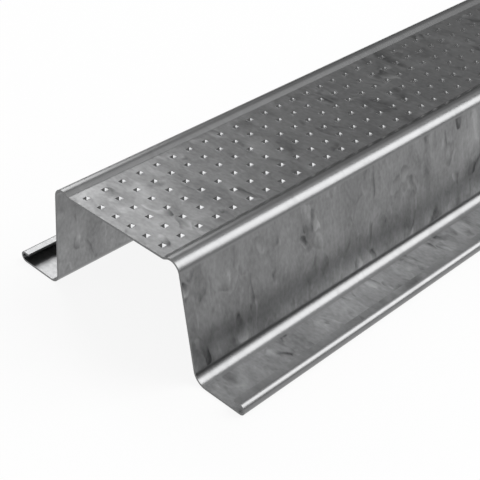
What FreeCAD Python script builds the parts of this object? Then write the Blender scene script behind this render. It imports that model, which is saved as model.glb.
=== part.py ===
"""Metal ceiling batten: one strip of zinc-coated steel, cold-rolled to a top-hat section and sheared to length.

The batten stands on its two flanges with its crown up. X runs across the section, Y along the
length and Z up, and the origin is on the floor below the middle of the batten. Lengths are in
millimetres, angles in degrees, and each bend radius is that of the inside of the bend.
"""

import FreeCAD
import Part

import os
from math import cos, radians, sin

# Overall sizes
LENGTH = 2400.0
OVERALL_WIDTH = 63.8
OVERALL_HEIGHT = 24.0
SHEET = 0.45

# Crown: a flat face for the lining board, set down between the two ridges that stiffen its edges
CROWN_FLAT = 25.4
VALLEY_RADIUS = 0.6
SHOULDER_ANGLE = 26.0
SHOULDER_RUN = 0.67
RIDGE_RADIUS = 2.05

# Webs: straight sides that lean outwards from upright as they go down
WEB_SPLAY = 8.0

# Flanges: flat feet, each with its outer edge rolled back over itself as an open lip
FOOT_RADIUS = 2.4
LIP_RADIUS = 0.78
LIP_RETURN = 1.3

ACROSS = FreeCAD.Vector(1, 0, 0)
MIDDLE = FreeCAD.Vector(0, 0, 0)


def direction(angle):
    """Unit vector in the section, turned up from across by an angle."""
    return FreeCAD.Vector(cos(radians(angle)), 0, sin(radians(angle)))


class Strip:
    """The sheet seen end-on, laid out by straight runs and bends, with an edge for each of its two faces."""

    def __init__(self, x, z):
        self.place = FreeCAD.Vector(x, 0, z)
        self.heading = 0.0
        self.edges = []

    def face_point(self, place, heading, side):
        """The point beside a place on the middle line, on the upper face (side 1) or the lower one (-1)."""
        return place + direction(heading + 90) * (side * SHEET / 2)

    def run(self, length):
        """Go straight on for a length."""
        end = self.place + direction(self.heading) * length
        for side in (1, -1):
            ends = [self.face_point(place, self.heading, side) for place in (self.place, end)]
            self.edges.append(Part.LineSegment(*ends).toShape())
        self.place = end

    def bend(self, turn, inside_radius):
        """Turn by an angle, positive upwards, about a centre on the inside of the bend."""
        towards_centre = 90 if turn > 0 else -90
        radius = inside_radius + SHEET / 2
        centre = self.place + direction(self.heading + towards_centre) * radius
        headings = [self.heading, self.heading + turn / 2, self.heading + turn]
        places = [centre - direction(heading + towards_centre) * radius for heading in headings]
        for side in (1, -1):
            points = [self.face_point(place, heading, side) for place, heading in zip(places, headings)]
            self.edges.append(Part.Arc(*points).toShape())
        self.place = places[-1]
        self.heading = headings[-1]

    def cut(self):
        """Close the strip with the sheared edge of the sheet."""
        corners = [self.face_point(self.place, self.heading, side) for side in (1, -1)]
        self.edges.append(Part.LineSegment(*corners).toShape())


def ridge_rise():
    """How far the ridges stand above the crown's flat."""
    bends = VALLEY_RADIUS + RIDGE_RADIUS + SHEET
    return bends * (1 - cos(radians(SHOULDER_ANGLE))) + SHOULDER_RUN * sin(radians(SHOULDER_ANGLE))


def web_run():
    """Straight length of a web, which makes up the overall height."""
    bends = RIDGE_RADIUS + FOOT_RADIUS + SHEET
    drop = OVERALL_HEIGHT - SHEET - bends * (1 - sin(radians(WEB_SPLAY)))
    return drop / cos(radians(WEB_SPLAY))


def half_section():
    """The strip from the edge of the crown's flat out to the free end of the lip."""
    web_slope = 90 - WEB_SPLAY
    strip = Strip(CROWN_FLAT / 2, OVERALL_HEIGHT - ridge_rise() - SHEET / 2)
    strip.bend(SHOULDER_ANGLE, VALLEY_RADIUS)
    strip.run(SHOULDER_RUN)
    strip.bend(-SHOULDER_ANGLE - web_slope, RIDGE_RADIUS)
    strip.run(web_run())
    strip.bend(web_slope, FOOT_RADIUS)
    strip.run(OVERALL_WIDTH / 2 - LIP_RADIUS - SHEET - strip.place.x)
    strip.bend(180, LIP_RADIUS)
    strip.run(LIP_RETURN)
    strip.cut()
    return strip.edges


def crown():
    """The crown's flat between the two halves."""
    strip = Strip(-CROWN_FLAT / 2, OVERALL_HEIGHT - ridge_rise() - SHEET / 2)
    strip.run(CROWN_FLAT)
    return strip.edges


def batten():
    """The whole section, drawn out along the length by half of it each way."""
    half = half_section()
    other_half = [edge.mirror(MIDDLE, ACROSS) for edge in half]
    outline = Part.Wire(Part.__sortEdges__(half + other_half + crown()))
    profile = Part.Face(outline)
    profile.translate(FreeCAD.Vector(0, -LENGTH / 2, 0))
    return profile.extrude(FreeCAD.Vector(0, LENGTH, 0))


os.makedirs("parts", exist_ok=True)
batten().exportStep("parts/ceiling_batten.step")
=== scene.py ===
from math import cos, pi, radians, sin

import bmesh
import bpy
from mathutils import Euler, Matrix, Vector


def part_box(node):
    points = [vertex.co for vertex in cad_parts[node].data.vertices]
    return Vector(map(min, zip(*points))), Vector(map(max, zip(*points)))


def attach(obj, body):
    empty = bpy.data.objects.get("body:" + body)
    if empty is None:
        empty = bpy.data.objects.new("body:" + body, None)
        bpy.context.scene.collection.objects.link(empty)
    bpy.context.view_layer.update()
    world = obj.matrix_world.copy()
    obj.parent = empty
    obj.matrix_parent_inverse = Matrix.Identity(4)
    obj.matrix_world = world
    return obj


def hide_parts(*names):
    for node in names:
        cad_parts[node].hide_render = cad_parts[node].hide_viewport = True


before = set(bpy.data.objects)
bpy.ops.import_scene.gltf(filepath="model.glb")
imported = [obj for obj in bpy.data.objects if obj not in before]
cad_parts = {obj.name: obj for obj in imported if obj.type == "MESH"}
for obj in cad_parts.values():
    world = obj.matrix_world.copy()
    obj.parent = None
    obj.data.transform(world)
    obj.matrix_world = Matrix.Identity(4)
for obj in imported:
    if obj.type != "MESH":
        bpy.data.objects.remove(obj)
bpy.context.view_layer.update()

scene = bpy.context.scene
scene.view_settings.view_transform = "Standard"


# THE ROLLED BATTEN
# One strip of zinc-coated steel sheet, cold-rolled to a top-hat section and sheared square at both ends.
# A knurling roll presses rows of small points up out of the crown before the strip is bent.

batten_low, batten_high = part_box("ceiling_batten")
length = batten_high.y - batten_low.y
overall_width = batten_high.x - batten_low.x
overall_height = batten_high.z - batten_low.z
sheet = 0.00045

crown_flat = 0.0254
valley_radius = 0.0006
shoulder_angle = radians(26)
shoulder_run = 0.00067
ridge_radius = 0.00205
web_splay = radians(8)
foot_radius = 0.0024
lip_radius = 0.00078
lip_return = 0.0013
bend_step = radians(7.5)

# The batten is built in equal bays. Each point of its knurl stands on a low foot, with a pit below it.
bays = 8
rows_along_bay = 73
rows_across = 6
bay_length = length / bays
knurl_pitch = bay_length / rows_along_bay
knurl_shift_along = 0.00009
point_turn = radians(4)
point_base = 0.00124
point_foot = 0.00111
point_tip = 0.00013
foot_height = 0.000034
point_height = 0.00039
pit_base = 0.00105
pit_tip = 0.00033
pit_depth = 0.00026

# How far the rolls have worked the coat, from not at all on the flats to most on the knurl's points.
rolled_flat = 0.0
rolled_lip = 0.5
rolled_bend = 1.0
rolled_point = 2.0


def heading_vector(angle):
    """Direction in the section, turned up from across by an angle."""
    return Vector((cos(angle), sin(angle)))


class Strip:
    """The middle line of the sheet seen end-on, laid out by runs and bends from the edge of the crown."""

    def __init__(self, place):
        self.place = Vector(place)
        self.heading = 0.0
        self.across = place[0]
        self.stations = []
        self.mark(rolled_flat)

    def mark(self, rolled):
        """Notes the place reached, and how far the rolls have worked the coat there."""
        self.stations.append((self.place.copy(), self.heading, self.across, rolled))

    def run(self, run_length, rolled=rolled_flat):
        """Goes straight on for a length."""
        self.place += heading_vector(self.heading) * run_length
        self.across += run_length
        self.mark(rolled)

    def bend(self, turn, inside_radius, rolled_at_end=rolled_flat):
        """Turns by an angle, positive upwards, about a centre on the inside of the bend."""
        radius = inside_radius + sheet / 2
        side = pi / 2 if turn > 0 else -pi / 2
        centre = self.place + heading_vector(self.heading + side) * radius
        steps = max(2, round(abs(turn) / bend_step))
        for step in range(1, steps + 1):
            self.heading += turn / steps
            self.across += radius * abs(turn) / steps
            self.place = centre - heading_vector(self.heading + side) * radius
            self.mark(rolled_bend if step < steps else rolled_at_end)

    def face(self, side):
        """Points of the upper face (side 1) or the lower one (-1), as (x, z, across the strip, rolled)."""
        points = []
        for place, heading, across, rolled in self.stations:
            point = place + heading_vector(heading + pi / 2) * (side * sheet / 2)
            points.append((point.x, point.y, across, rolled))
        return points


crown_bends = valley_radius + ridge_radius + sheet
ridge_rise = crown_bends * (1 - cos(shoulder_angle)) + shoulder_run * sin(shoulder_angle)
crown_top = overall_height - ridge_rise
web_slope = pi / 2 - web_splay
web_drop = overall_height - sheet - (ridge_radius + foot_radius + sheet) * (1 - sin(web_splay))

strip = Strip((crown_flat / 2, crown_top - sheet / 2))
strip.bend(shoulder_angle, valley_radius, rolled_at_end=rolled_bend)
strip.run(shoulder_run, rolled=rolled_bend)
strip.bend(-shoulder_angle - web_slope, ridge_radius)
strip.run(web_drop / cos(web_splay))
strip.bend(web_slope, foot_radius)
strip.run(overall_width / 2 - lip_radius - sheet - strip.place.x)
strip.bend(pi, lip_radius, rolled_at_end=rolled_lip)
strip.run(lip_return, rolled=rolled_lip)

half_outline = strip.face(1) + strip.face(-1)[::-1]
section_points = []
section_edges = []
section_across = []
section_rolled = []
for mirror in (1, -1):
    first = len(section_points)
    section_points += [(mirror * x, -bay_length / 2, z) for x, z, _, _ in half_outline]
    section_across += [mirror * across for _, _, across, _ in half_outline]
    section_rolled += [rolled for _, _, _, rolled in half_outline]
    section_edges += [(first + i, first + i + 1) for i in range(len(half_outline) - 1)]

section = bpy.data.meshes.new("batten_section")
section.from_pydata(section_points, section_edges, [])
section.attributes.new("across", "FLOAT", "POINT").data.foreach_set("value", section_across)
section.attributes.new("rolled", "FLOAT", "POINT").data.foreach_set("value", section_rolled)


def node(tree, kind, inputs=None, **options):
    """Adds a node, sets its options, and gives each named input a value or another node's output."""
    made = tree.nodes.new(kind)
    for option, value in options.items():
        setattr(made, option, value)
    for key, value in (inputs or {}).items():
        if isinstance(value, bpy.types.NodeSocket):
            tree.links.new(value, made.inputs[key])
        else:
            made.inputs[key].default_value = value
    return made


def maths(tree, operation, *values):
    """Works out a number from others, each a value or another node's output."""
    return node(tree, "ShaderNodeMath", dict(enumerate(values)), operation=operation).outputs[0]


def vector_of(tree, x=0.0, y=0.0, z=0.0):
    """Makes a vector of three numbers."""
    return node(tree, "ShaderNodeCombineXYZ", {"X": x, "Y": y, "Z": z}).outputs[0]


def moved(tree, mesh, x=0.0, z=0.0):
    """Moves a mesh across and up."""
    shift = vector_of(tree, x=x, z=z)
    return node(tree, "GeometryNodeTransform", {"Geometry": mesh, "Translation": shift}).outputs["Geometry"]


def joined(tree, *meshes):
    """Joins meshes into one."""
    join = node(tree, "GeometryNodeJoinGeometry")
    for mesh in meshes:
        tree.links.new(mesh, join.inputs[0])
    return join.outputs[0]


def noted(tree, mesh, name, value, data_type="FLOAT"):
    """Keeps a value at each point of a mesh, under a name."""
    return node(
        tree,
        "GeometryNodeStoreNamedAttribute",
        {"Geometry": mesh, "Name": name, "Value": value},
        data_type=data_type,
        domain="POINT",
    ).outputs["Geometry"]


def pressed_square(tree, pitch, rings, level, turn):
    """One square of sheet with a knurl point in its middle, stepped in through rings of (side, rise)."""
    square = {"Size X": pitch, "Size Y": pitch, "Vertices X": 2, "Vertices Y": 2}
    mesh = node(tree, "GeometryNodeMeshGrid", square).outputs["Mesh"]
    upwards = vector_of(tree, z=1.0)
    # The first ring is pressed in the whole square, and each later one in the face inside the last.
    pressed_face = {}
    last_side = pitch
    for ring, (side, rise) in enumerate(rings):
        press = node(
            tree,
            "GeometryNodeExtrudeMesh",
            {"Mesh": mesh, "Offset": upwards, "Offset Scale": rise, **pressed_face},
            mode="FACES",
        )
        pressed_face = {"Selection": press.outputs["Top"]}
        shrink = maths(tree, "DIVIDE", side, last_side)
        mesh = node(
            tree,
            "GeometryNodeScaleElements",
            {"Geometry": press.outputs["Mesh"], "Scale": shrink, **pressed_face},
            domain="FACE",
        ).outputs["Geometry"]
        if ring == 0:
            unturned = node(tree, "GeometryNodeInputPosition").outputs[0]
            turned = node(
                tree, "ShaderNodeVectorRotate", {"Vector": unturned, "Angle": turn}, rotation_type="Z_AXIS"
            ).outputs[0]
            mesh = node(
                tree, "GeometryNodeSetPosition", {"Geometry": mesh, "Position": turned, **pressed_face}
            ).outputs["Geometry"]
        last_side = side
    return moved(tree, mesh, z=level)


rolling_sizes = {
    "Bay Length": bay_length,
    "Bays": bays,
    "Crown Flat": crown_flat,
    "Crown Top": crown_top,
    "Sheet": sheet,
    "Pitch": knurl_pitch,
    "Rows Across": rows_across,
    "Rows Along": rows_along_bay,
    "Shift Along": knurl_shift_along,
    "Point Turn": point_turn,
    "Point Base": point_base,
    "Point Foot": point_foot,
    "Point Tip": point_tip,
    "Foot Height": foot_height,
    "Point Height": point_height,
    "Pit Base": pit_base,
    "Pit Tip": pit_tip,
    "Pit Depth": pit_depth,
}
rolls = bpy.data.node_groups.new("rolled_batten", "GeometryNodeTree")


def rolls_input(name, kind):
    """Adds an input to the rolls' tree, and gives the identifier that a modifier sets it by."""
    return rolls.interface.new_socket(name, in_out="INPUT", socket_type=kind).identifier


rolls_input("Section", "NodeSocketGeometry")
size_inputs = {}
for size_name, size in rolling_sizes.items():
    size_kind = "NodeSocketInt" if isinstance(size, int) else "NodeSocketFloat"
    size_inputs[size_name] = rolls_input(size_name, size_kind)
steel_input = rolls_input("Steel", "NodeSocketMaterial")
rolls.interface.new_socket("Batten", in_out="OUTPUT", socket_type="NodeSocketGeometry")
given = rolls.nodes.new("NodeGroupInput").outputs

# The bends, webs, flanges and lips are the section drawn out along one bay.
along = vector_of(rolls, y=1.0)
shell = node(
    rolls,
    "GeometryNodeExtrudeMesh",
    {"Mesh": given["Section"], "Offset": along, "Offset Scale": given["Bay Length"]},
    mode="EDGES",
).outputs["Mesh"]

# The knurled block is made of equal squares, each with a point on its upper face and a pit in its lower one.
crown_under = maths(rolls, "SUBTRACT", given["Crown Top"], given["Sheet"])
point_rings = [
    (given["Point Base"], 0.0),
    (given["Point Foot"], given["Foot Height"]),
    (given["Point Tip"], given["Point Height"]),
]
pit_rings = [(given["Pit Base"], 0.0), (given["Pit Tip"], given["Pit Depth"])]
upper_square = pressed_square(rolls, given["Pitch"], point_rings, given["Crown Top"], given["Point Turn"])
lower_square = pressed_square(rolls, given["Pitch"], pit_rings, crown_under, given["Point Turn"])
knurl_square = joined(rolls, upper_square, lower_square)

block_width = maths(rolls, "MULTIPLY", given["Rows Across"], given["Pitch"])
knurl_places = node(
    rolls,
    "GeometryNodeMeshGrid",
    {
        "Size X": maths(rolls, "SUBTRACT", block_width, given["Pitch"]),
        "Size Y": maths(rolls, "SUBTRACT", given["Bay Length"], given["Pitch"]),
        "Vertices X": given["Rows Across"],
        "Vertices Y": given["Rows Along"],
    },
).outputs["Mesh"]
knurl_block = node(
    rolls, "GeometryNodeInstanceOnPoints", {"Points": knurl_places, "Instance": knurl_square}
).outputs["Instances"]
knurled_crown = node(rolls, "GeometryNodeRealizeInstances", {"Geometry": knurl_block}).outputs["Geometry"]

# A plain margin lies between the knurled block and each valley bend. Its outer side has only its two end
# corners, where the long faces of the bends meet it, so its faces fan out from one of them.
both_margins = maths(rolls, "SUBTRACT", given["Crown Flat"], block_width)
margin_width = maths(rolls, "DIVIDE", both_margins, 2.0)
margin_grid = node(
    rolls,
    "GeometryNodeMeshGrid",
    {
        "Size X": margin_width,
        "Size Y": given["Bay Length"],
        "Vertices X": 2,
        "Vertices Y": maths(rolls, "ADD", given["Rows Along"], 1.0),
    },
).outputs["Mesh"]
# Here and below, a point within a hair of an edge counts as on it.
hair = 1e-5
half_bay = maths(rolls, "DIVIDE", given["Bay Length"], 2.0)
position = node(rolls, "GeometryNodeInputPosition").outputs[0]
here = node(rolls, "ShaderNodeSeparateXYZ", {0: position}).outputs
on_outer_side = maths(rolls, "GREATER_THAN", here["X"], 0.0)
before_far_corner = maths(rolls, "LESS_THAN", here["Y"], maths(rolls, "SUBTRACT", half_bay, hair))
near_corner = vector_of(rolls, here["X"], maths(rolls, "MULTIPLY", half_bay, -1.0), here["Z"])
margin_fan = node(
    rolls,
    "GeometryNodeSetPosition",
    {
        "Geometry": margin_grid,
        "Selection": maths(rolls, "MULTIPLY", on_outer_side, before_far_corner),
        "Position": near_corner,
    },
).outputs["Geometry"]
between_margins = maths(rolls, "SUBTRACT", given["Crown Flat"], margin_width)
margin_middle = maths(rolls, "DIVIDE", between_margins, 2.0)
flat_parts = [knurled_crown]
for sheet_face in (given["Crown Top"], crown_under):
    right_margin = moved(rolls, margin_fan, x=margin_middle, z=sheet_face)
    left_margin = node(rolls, "GeometryNodeTransform", {"Geometry": right_margin, "Scale": (-1, 1, 1)})
    flat_parts += [right_margin, left_margin.outputs["Geometry"]]
flat_crown = noted(rolls, joined(rolls, *flat_parts), "across", here["X"])
on_point = maths(rolls, "GREATER_THAN", here["Z"], maths(rolls, "ADD", given["Crown Top"], hair))
crown = noted(rolls, flat_crown, "rolled", maths(rolls, "MULTIPLY", on_point, rolled_point))

# The bays are welded end to end, and the knurl is shifted a little along between the two cut ends.
bay = joined(rolls, crown, shell)
whole_length = maths(rolls, "MULTIPLY", given["Bay Length"], given["Bays"])
half_length = maths(rolls, "DIVIDE", whole_length, 2.0)
first_bay = maths(rolls, "SUBTRACT", half_bay, half_length)
bay_places = node(
    rolls,
    "GeometryNodeMeshLine",
    {
        "Count": given["Bays"],
        "Start Location": vector_of(rolls, y=first_bay),
        "Offset": vector_of(rolls, y=given["Bay Length"]),
    },
    mode="OFFSET",
).outputs["Mesh"]
bay_row = node(
    rolls, "GeometryNodeInstanceOnPoints", {"Points": bay_places, "Instance": bay}
).outputs["Instances"]
loose_bays = node(rolls, "GeometryNodeRealizeInstances", {"Geometry": bay_row}).outputs["Geometry"]
weld_reach = 2e-6
welded = node(
    rolls, "GeometryNodeMergeByDistance", {"Geometry": loose_bays, "Distance": weld_reach}
).outputs["Geometry"]
off_middle = maths(rolls, "ABSOLUTE", here["X"])
off_mid_length = maths(rolls, "ABSOLUTE", here["Y"])
on_knurl = maths(rolls, "LESS_THAN", off_middle, margin_middle)
inside_ends = maths(rolls, "LESS_THAN", off_mid_length, maths(rolls, "SUBTRACT", half_length, hair))
shifted = node(
    rolls,
    "GeometryNodeSetPosition",
    {
        "Geometry": welded,
        "Selection": maths(rolls, "MULTIPLY", on_knurl, inside_ends),
        "Offset": vector_of(rolls, y=given["Shift Along"]),
    },
).outputs["Geometry"]

# Each point also keeps its place on the strip before bending, which the zinc's marks are laid out on.
across_read = node(rolls, "GeometryNodeInputNamedAttribute", {"Name": "across"}, data_type="FLOAT")
place_on_strip = vector_of(rolls, across_read.outputs["Attribute"], here["Y"])
laid_out = noted(rolls, shifted, "flat_strip", place_on_strip, "FLOAT_VECTOR")
dressed = node(rolls, "GeometryNodeSetMaterial", {"Geometry": laid_out, "Material": given["Steel"]})
node(rolls, "NodeGroupOutput", {0: dressed.outputs["Geometry"]})

# The zinc's marks are counted in millimetres along the strip, and are drawn out across it.
strip_to_marks = (540.0, 1000.0, 1000.0)
marks_start = (164.0, 268.0, 0.0)
wander_reach = (8.0, 8.0, 8.0)
fleck_stretch = (0.75, 1.0, 1.0)
noise_middle = (0.5, 0.5, 0.5)
marks_middle = 0.54
marks_left_by_rolls = 0.15
middle_tone = 0.5

dark_zinc = (0.063, 0.0635, 0.0645, 1)
light_zinc = (0.357, 0.3595, 0.362, 1)
cut_steel = (0.20, 0.201, 0.203, 1)
matt_roughness = (0.39, 0.31)
bend_roughness = 0.29
point_roughness = 0.18
cut_roughness = 0.5
dent_depth = 0.0001
dent_strength = 0.3

# Painted light: out from the strip's middle, down the web and onto the flange, the zinc is painted lighter
# between these two distances, except where the rolls have worked it, to lift the shade where web and flange
# mirror each other.
painted_lift_span = (0.022, 0.040)
painted_lift_levels = (0.96, 1.27)

steel = bpy.data.materials.new("zinc_coated_steel")
steel.use_nodes = True
coat = steel.node_tree
surface = coat.nodes["Principled BSDF"]
surface.inputs["Metallic"].default_value = 1.0


def vector_maths(tree, operation, *values):
    """Works out a vector from others, each a value or another node's output."""
    return node(tree, "ShaderNodeVectorMath", dict(enumerate(values)), operation=operation).outputs[0]


def dot_product(tree, first, second):
    """Works out how far one vector reaches along another."""
    return node(tree, "ShaderNodeVectorMath", {0: first, 1: second}, operation="DOT_PRODUCT").outputs["Value"]


def ranged(tree, value, span, onto=(0.0, 1.0)):
    """Maps a span of values onto another span, and holds the value at its ends."""
    limits = {"From Min": span[0], "From Max": span[1], "To Min": onto[0], "To Max": onto[1]}
    return node(tree, "ShaderNodeMapRange", {"Value": value, **limits}).outputs[0]


def noise(place, scale, detail, roughness=0.5):
    """Adds noise on the coat, and gives its outputs."""
    look = {"Scale": scale, "Detail": detail, "Roughness": roughness}
    return node(coat, "ShaderNodeTexNoise", {"Vector": place, **look}).outputs


def mixed(factor, first, second):
    """Goes from one number to another by a factor."""
    return node(coat, "ShaderNodeMix", {"Factor": factor, 2: first, 3: second}).outputs[0]


def mixed_colour(factor, first, second):
    """Goes from one colour to another by a factor."""
    return node(coat, "ShaderNodeMix", {"Factor": factor, 6: first, 7: second}, data_type="RGBA").outputs[2]


def plates_with_painted_tilt(place, scale, softness):
    """Zinc plates with painted shading of a tilt: each is lighter towards a side of its own. Only some stand
    out.
    """
    cells = node(
        coat,
        "ShaderNodeTexVoronoi",
        {"Vector": place, "Scale": scale, "Smoothness": softness},
        feature="SMOOTH_F1",
    ).outputs
    from_plate_middle = vector_maths(coat, "SUBTRACT", place, cells["Position"])
    tilt = 4 * scale
    tilts = (tilt, tilt, 0.0)
    level_plate = (-tilt / 2, -tilt / 2, 0.0)
    own_side = vector_maths(coat, "MULTIPLY_ADD", cells["Color"], tilts, level_plate)
    painted_tilt_shade = dot_product(coat, from_plate_middle, own_side)
    chance = node(coat, "ShaderNodeSeparateColor", {0: cells["Color"]}).outputs["Blue"]
    stands_out = ranged(coat, chance, span=(0.4, 0.9), onto=(0.0, 1.9))
    return maths(coat, "MULTIPLY", painted_tilt_shade, stands_out)


flat_strip = node(coat, "ShaderNodeAttribute", attribute_name="flat_strip").outputs["Vector"]
rolled_here = node(coat, "ShaderNodeAttribute", attribute_name="rolled").outputs["Fac"]
sheared_here = node(coat, "ShaderNodeAttribute", attribute_name="sheared").outputs["Fac"]

on_strip = vector_maths(coat, "MULTIPLY_ADD", flat_strip, strip_to_marks, marks_start)
wander = noise(on_strip, scale=0.16, detail=2.5)["Color"]
swing = vector_maths(coat, "SUBTRACT", wander, noise_middle)
crinkled = vector_maths(coat, "MULTIPLY_ADD", swing, wander_reach, on_strip)
# The plates are part random zinc tone and part painted shading of tilted plates.
wide_plates_painted_tilt = plates_with_painted_tilt(crinkled, scale=0.16, softness=0.9)
small_plates_painted_tilt = plates_with_painted_tilt(crinkled, scale=0.45, softness=0.6)
clouds = noise(crinkled, scale=0.11, detail=4.0, roughness=0.55)[0]
grain = noise(on_strip, scale=1.6, detail=3.0)[0]
fleck_strip = vector_maths(coat, "MULTIPLY", crinkled, fleck_stretch)
fleck_noise = noise(fleck_strip, scale=0.42, detail=2.0)[0]
dark_flecks = ranged(coat, fleck_noise, span=(0.63, 0.72))
light_flecks = ranged(coat, fleck_noise, span=(0.38, 0.29))
mark_shares = (
    (wide_plates_painted_tilt, 0.27),
    (small_plates_painted_tilt, 0.20),
    (clouds, 0.66),
    (grain, 0.42),
    (dark_flecks, -0.11),
    (light_flecks, 0.13),
)
all_marks = -marks_middle
for mark, share in mark_shares:
    all_marks = maths(coat, "MULTIPLY_ADD", mark, share, all_marks)

# The rolls even the marks out and burnish the coat.
marks_left = ranged(coat, rolled_here, span=(rolled_flat, rolled_bend), onto=(1.0, marks_left_by_rolls))
tone = maths(coat, "MULTIPLY_ADD", all_marks, marks_left, middle_tone)
spangle_and_painted_tilts = mixed_colour(tone, dark_zinc, light_zinc)
across_strip = node(coat, "ShaderNodeSeparateXYZ", {0: flat_strip}).outputs["X"]
# The lower web and the flange are painted lighter here, as painted light.
painted_lift = ranged(coat, maths(coat, "ABSOLUTE", across_strip), painted_lift_span, painted_lift_levels)
painted_lightness = mixed(rolled_here, painted_lift, 1.0)
zinc = node(coat, "ShaderNodeVectorMath", {0: spangle_and_painted_tilts, "Scale": painted_lightness}, operation="SCALE").outputs[0]
coat.links.new(mixed_colour(sheared_here, zinc, cut_steel), surface.inputs["Base Color"])

matt = ranged(coat, clouds, span=(0.3, 0.7), onto=matt_roughness)
burnished = ranged(
    coat, rolled_here, span=(rolled_bend, rolled_point), onto=(bend_roughness, point_roughness)
)
coat_roughness = mixed(rolled_here, matt, burnished)
coat.links.new(mixed(sheared_here, coat_roughness, cut_roughness), surface.inputs["Roughness"])
dents = node(
    coat, "ShaderNodeBump", {"Height": clouds, "Strength": dent_strength, "Distance": dent_depth}
).outputs[0]
coat.links.new(dents, surface.inputs["Normal"])

batten = bpy.data.objects.new("batten", section)
scene.collection.objects.link(batten)
rolling = batten.modifiers.new("rolling", "NODES")
rolling.node_group = rolls
for size_name, size in rolling_sizes.items():
    rolling[size_inputs[size_name]] = size
rolling[steel_input] = steel
batten.data = bpy.data.meshes.new_from_object(batten.evaluated_get(bpy.context.evaluated_depsgraph_get()))
batten.modifiers.remove(rolling)

# The shears leave the two ends and the strip's own long edges as bare cut steel.
shears = bmesh.new()
shears.from_mesh(batten.data)
sheared = shears.faces.layers.float.new("sheared")
strip_place = shears.verts.layers.float_vector["flat_strip"]
end_faces = bmesh.ops.holes_fill(shears, edges=[edge for edge in shears.edges if edge.is_boundary])["faces"]
bmesh.ops.recalc_face_normals(shears, faces=shears.faces)
strip_edge = max(section_across) - hair
for face in shears.faces:
    face[sheared] = float(all(abs(vert[strip_place].x) > strip_edge for vert in face.verts))
for face in end_faces:
    face[sheared] = 1.0
shears.to_mesh(batten.data)
shears.free()

# Cut edges and the points' corners stay sharp, and the small faces of a bend don't tilt the flats beside it.
sharp_angle = radians(32)
batten.data.shade_smooth()
batten.data.set_sharp_from_angle(angle=sharp_angle)
flat_faces = batten.modifiers.new("flat_faces", "WEIGHTED_NORMAL")
flat_faces.keep_sharp = True
flat_faces.weight = 100
batten.data = bpy.data.meshes.new_from_object(batten.evaluated_get(bpy.context.evaluated_depsgraph_get()))
batten.modifiers.remove(flat_faces)

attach(batten, "root")
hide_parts("ceiling_batten")


# THE STUDIO
# A plain floor of white paper in a pale room that is dark low down on its left side, with three soft boxes
# hung round the near end of the batten and a camera at the photograph's view.

floor_reach = 30.0
floor_corners = [(-1, -1), (1, -1), (1, 1), (-1, 1)]
floor_points = [(x * floor_reach, y * floor_reach, 0.0) for x, y in floor_corners]
floor_mesh = bpy.data.meshes.new("floor")
floor_mesh.from_pydata(floor_points, [], [(0, 1, 2, 3)])
floor = bpy.data.objects.new("floor", floor_mesh)
scene.collection.objects.link(floor)

# The camera and the metal see the paper mostly at an even white. The rest of it is paper under the lamps,
# which keeps the batten's shadow.
even_white_share = 0.9
paper = bpy.data.materials.new("white_paper")
paper.use_nodes = True
sweep = paper.node_tree
paper_face = sweep.nodes["Principled BSDF"]
paper_face.inputs["Base Color"].default_value = (0.95, 0.95, 0.95, 1)
paper_face.inputs["Roughness"].default_value = 0.9
paper_face.inputs["Specular IOR Level"].default_value = 0.1
white = node(sweep, "ShaderNodeEmission", {"Strength": 1.0})
seen = node(sweep, "ShaderNodeLightPath").outputs
by_camera_or_metal = maths(sweep, "MAXIMUM", seen["Is Camera Ray"], seen["Is Glossy Ray"])
by_any = maths(sweep, "MAXIMUM", by_camera_or_metal, seen["Is Transmission Ray"])
even_white = maths(sweep, "MULTIPLY", by_any, even_white_share)
lit_paper = node(
    sweep, "ShaderNodeMixShader", {0: even_white, 1: paper_face.outputs[0], 2: white.outputs[0]}
)
sweep.links.new(lit_paper.outputs[0], sweep.nodes["Material Output"].inputs["Surface"])
floor_mesh.materials.append(paper)

light_side = (0.423, 0.0, 0.906)
dark_to_light = (-0.17, 0.15)
room_level = 0.41
backdrop_level = 0.95
world = bpy.data.worlds.new("studio")
world.use_nodes = True
room = world.node_tree
room_light = room.nodes["Background"]
room_light.inputs["Color"].default_value = (1, 1, 1, 1)
looking = node(room, "ShaderNodeTexCoord").outputs["Generated"]
to_light_side = dot_product(room, looking, light_side)
room_shade = ranged(room, to_light_side, dark_to_light, onto=(0.0, room_level))
camera_sees = node(room, "ShaderNodeLightPath").outputs["Is Camera Ray"]
room_strength = ranged(room, camera_sees, span=(0.0, 1.0), onto=(room_shade, backdrop_level))
room.links.new(room_strength, room_light.inputs["Strength"])
scene.world = world

near_end = Vector((0, batten_low.y, overall_height / 2))
lamps_aim = near_end + Vector((0, 0.05, 0))
lamps_distance = 1.6


def soft_box(name, way, width, height, radiance, lean=0.0):
    """A rectangular soft box out in a direction, facing the near end and leaning over by an angle."""
    lamp = bpy.data.lights.new(name, "AREA")
    lamp.shape = "RECTANGLE"
    lamp.size = width
    lamp.size_y = height
    lamp.energy = radiance * pi * width * height
    holder = bpy.data.objects.new(name, lamp)
    outward = Vector(way).normalized()
    sideways = Vector((0, 1, 0)).cross(outward).normalized()
    holder.location = lamps_aim + outward * lamps_distance
    facing = Matrix((sideways, outward.cross(sideways), outward)).transposed()
    holder.rotation_euler = (facing @ Matrix.Rotation(-lean, 3, "Z")).to_euler()
    scene.collection.objects.link(holder)


soft_box("key", way=(0.476, 0.588, 0.654), width=1.00, height=1.65, radiance=4.0, lean=radians(42))
soft_box("left", way=(-0.767, 0.317, 0.558), width=1.10, height=0.54, radiance=4.0)
soft_box("back", way=(-0.139, 0.602, 0.786), width=0.50, height=0.98, radiance=0.55)

camera_data = bpy.data.cameras.new("photo_view")
camera_data.sensor_width = 36.0
camera_data.lens = 80.972
camera_data.clip_start = 0.01
camera = bpy.data.objects.new("photo_view", camera_data)
camera.location = near_end + Vector((0.125601, -0.091233, 0.115302))
camera.rotation_euler = Euler((radians(55.141), radians(0.438), radians(45.671)), "XYZ")
scene.collection.objects.link(camera)
scene.camera = camera
